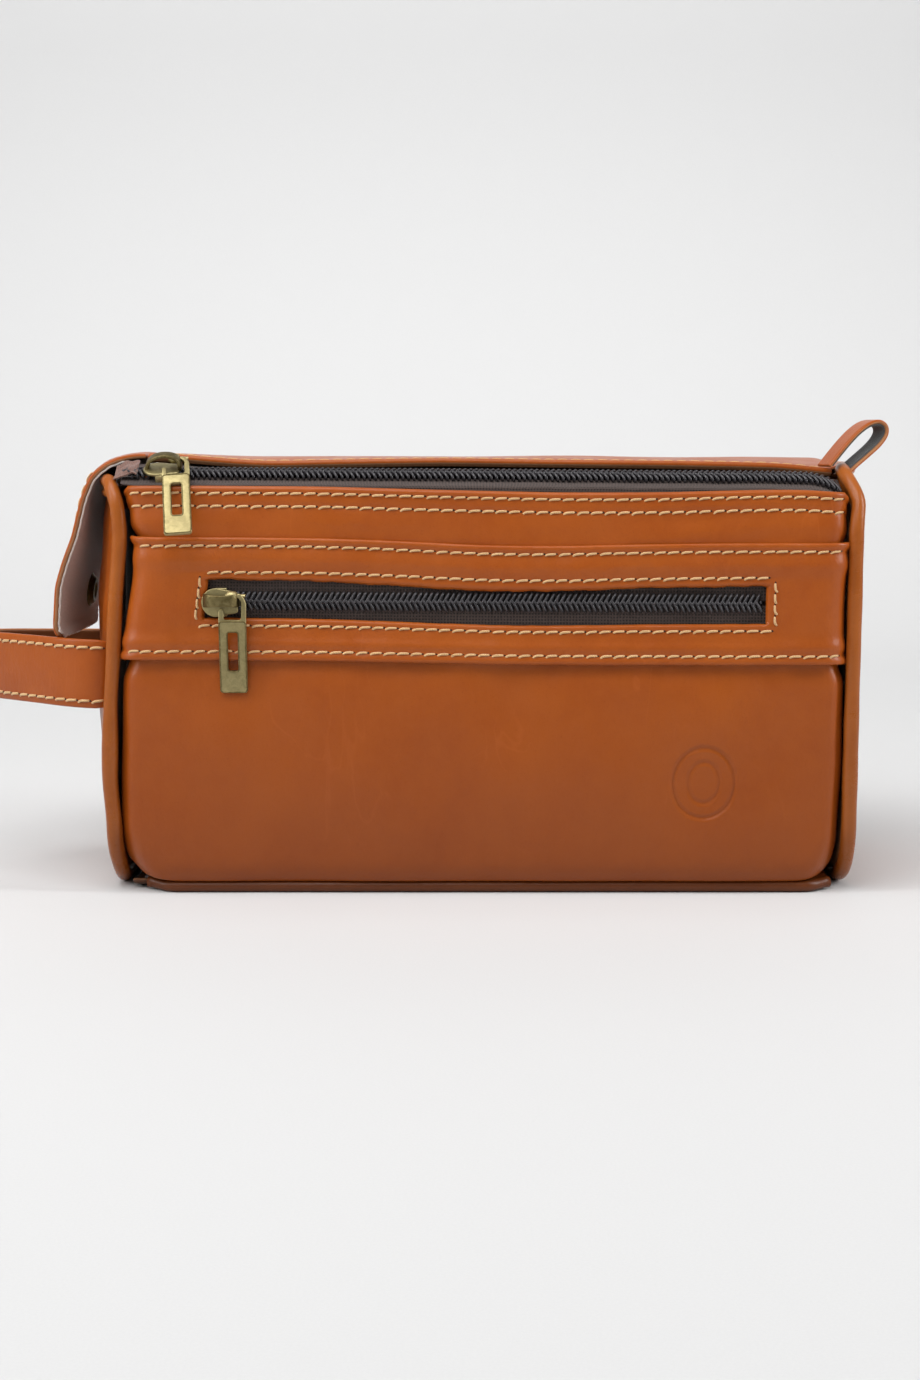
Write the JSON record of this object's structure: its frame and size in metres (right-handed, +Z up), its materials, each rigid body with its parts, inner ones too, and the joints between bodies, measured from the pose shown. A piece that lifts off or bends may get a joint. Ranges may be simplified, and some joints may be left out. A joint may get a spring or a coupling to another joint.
{
  "type": "shaving kit bag",
  "caption": "Box-shaped leather shaving kit bag with piped ends, a zipped lid, a zipped front pocket, a snap-down end flap and a side handle.",
  "frame": {"origin": "centre of the base, on the surface the bag stands on", "axes": "+X along the bag towards the pull loop, +Y from the pocket side to the back, +Z up"},
  "size_m": [0.3209, 0.1241, 0.1615],
  "materials": {
    "tan_leather": "smooth pull-up leather, satin",
    "piping_leather": "smooth leather, burnished",
    "dark_leather": "smooth leather, satin",
    "piping_cord": "twisted cotton",
    "lining_cloth": "plain woven",
    "fibre_board": "matt fibre board",
    "zip_tape": "woven polyester",
    "zip_coil": "moulded nylon",
    "antique_brass": "antique plated, rubbed edges",
    "loop_lining": "folded tape"
  },
  "bodies": {
    "bag": {"bottom_panel": "dark_leather", "bottom_board": "fibre_board", "bottom_lining": "lining_cloth", "front_lower_panel": "tan_leather", "front_pocket_panel": "tan_leather", "front_top_band": "tan_leather", "back_panel": "tan_leather", "left_end_panel": "tan_leather", "right_end_panel": "tan_leather", "left_piping_cover": "piping_leather", "left_piping_cord": "piping_cord", "right_piping_cover": "piping_leather", "right_piping_cord": "piping_cord", "front_bottom_piping_cover": "piping_leather", "front_bottom_piping_cord": "piping_cord", "back_bottom_piping_cover": "piping_leather", "back_bottom_piping_cord": "piping_cord", "front_lining": "lining_cloth", "back_lining": "lining_cloth", "left_end_lining": "lining_cloth", "right_end_lining": "lining_cloth", "pocket_pouch": "lining_cloth", "pocket_zip_upper_tape": "zip_tape", "pocket_zip_lower_tape": "zip_tape", "pocket_zip_upper_coil": "zip_coil", "pocket_zip_lower_coil": "zip_coil", "main_zip_front_tape": "zip_tape", "main_zip_front_coil": "zip_coil", "snap_stud": "antique_brass", "snap_rivet": "antique_brass"},
    "lid": {"lid_panel": "tan_leather", "lid_lining": "lining_cloth", "main_zip_rear_tape": "zip_tape", "main_zip_rear_coil": "zip_coil"},
    "end_flap": {"end_flap": "tan_leather", "end_flap_lining": "lining_cloth", "snap_cap": "antique_brass", "snap_socket": "antique_brass"},
    "main_slider": {"main_slider": "antique_brass"},
    "main_puller": {"main_puller": "antique_brass"},
    "pocket_slider": {"pocket_slider": "antique_brass"},
    "pocket_puller": {"pocket_puller": "antique_brass"},
    "handle": {"handle_strap": "tan_leather", "handle_lining": "dark_leather"},
    "pull_loop": {"pull_loop_leather": "tan_leather", "pull_loop_lining": "loop_lining"}
  },
  "joints": [
    {"name": "lid_hinge", "type": "hinge", "parent": "bag", "child": "lid", "pos_m": [0, 0.042, 0.143], "axis": [-1, 0, 0], "range_deg": [0, 80], "deforming": ["main_zip_rear_tape", "main_zip_rear_coil"]},
    {"name": "end_flap_fold", "type": "hinge", "parent": "lid", "child": "end_flap", "pos_m": [-0.1247, 0, 0.142], "axis": [0, 1, 0], "range_deg": [-6, 100]},
    {"name": "main_zip_slide", "type": "slide", "parent": "bag", "child": "main_slider", "axis": [1, 0, 0], "range_m": [0, 0.206]},
    {"name": "main_puller_swing", "type": "hinge", "parent": "main_slider", "child": "main_puller", "pos_m": [-0.105, -0.04615, 0.14457], "axis": [-1, 0, 0], "range_deg": [0, 185]},
    {"name": "pocket_zip_slide", "type": "slide", "parent": "bag", "child": "pocket_slider", "axis": [1, 0, 0], "range_m": [0, 0.168]},
    {"name": "pocket_puller_swing", "type": "hinge", "parent": "pocket_slider", "child": "pocket_puller", "pos_m": [-0.0854, -0.0594, 0.1002], "axis": [-1, 0, 0], "range_deg": [0, 170]},
    {"name": "handle_swing", "type": "hinge", "parent": "bag", "child": "handle", "pos_m": [-0.1262, 0, 0.0598], "axis": [0, 1, 0], "range_deg": [-40, 0]},
    {"name": "pull_loop_bend", "type": "hinge", "parent": "bag", "child": "pull_loop", "pos_m": [0.122, -0.034, 0.1451], "axis": [-0.5736, 0.8192, 0], "range_deg": [-12, 12]}
  ]
}
